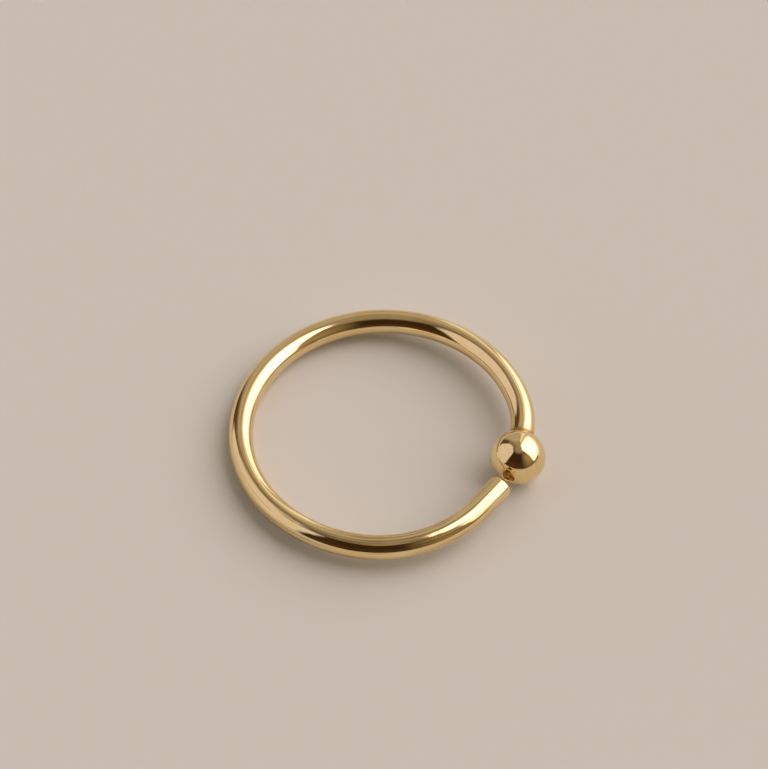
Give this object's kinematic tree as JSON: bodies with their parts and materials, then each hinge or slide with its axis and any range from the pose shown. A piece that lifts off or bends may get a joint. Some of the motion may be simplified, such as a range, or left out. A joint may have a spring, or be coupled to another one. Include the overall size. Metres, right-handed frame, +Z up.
{
  "type": "ball-end hoop nose ring",
  "caption": "Round gold wire nose hoop with a solid ball soldered on one end and a plain free end facing a shallow cup in the ball.",
  "frame": {"origin": "under the middle of the ring's box, on the surface that it lies on", "axes": "+Z up from the surface; +X from the middle of the hoop towards the ball; the hoop lies on its side in the XY plane, raised a little at the ball"},
  "size_m": [0.0104, 0.0102, 0.0018],
  "materials": {
    "polished_gold": "mirror-polished yellow gold with faint lengthwise polish lines on the wire"
  },
  "bodies": {
    "root": {"ball_end_hoop": "polished_gold"}
  },
  "joints": []
}
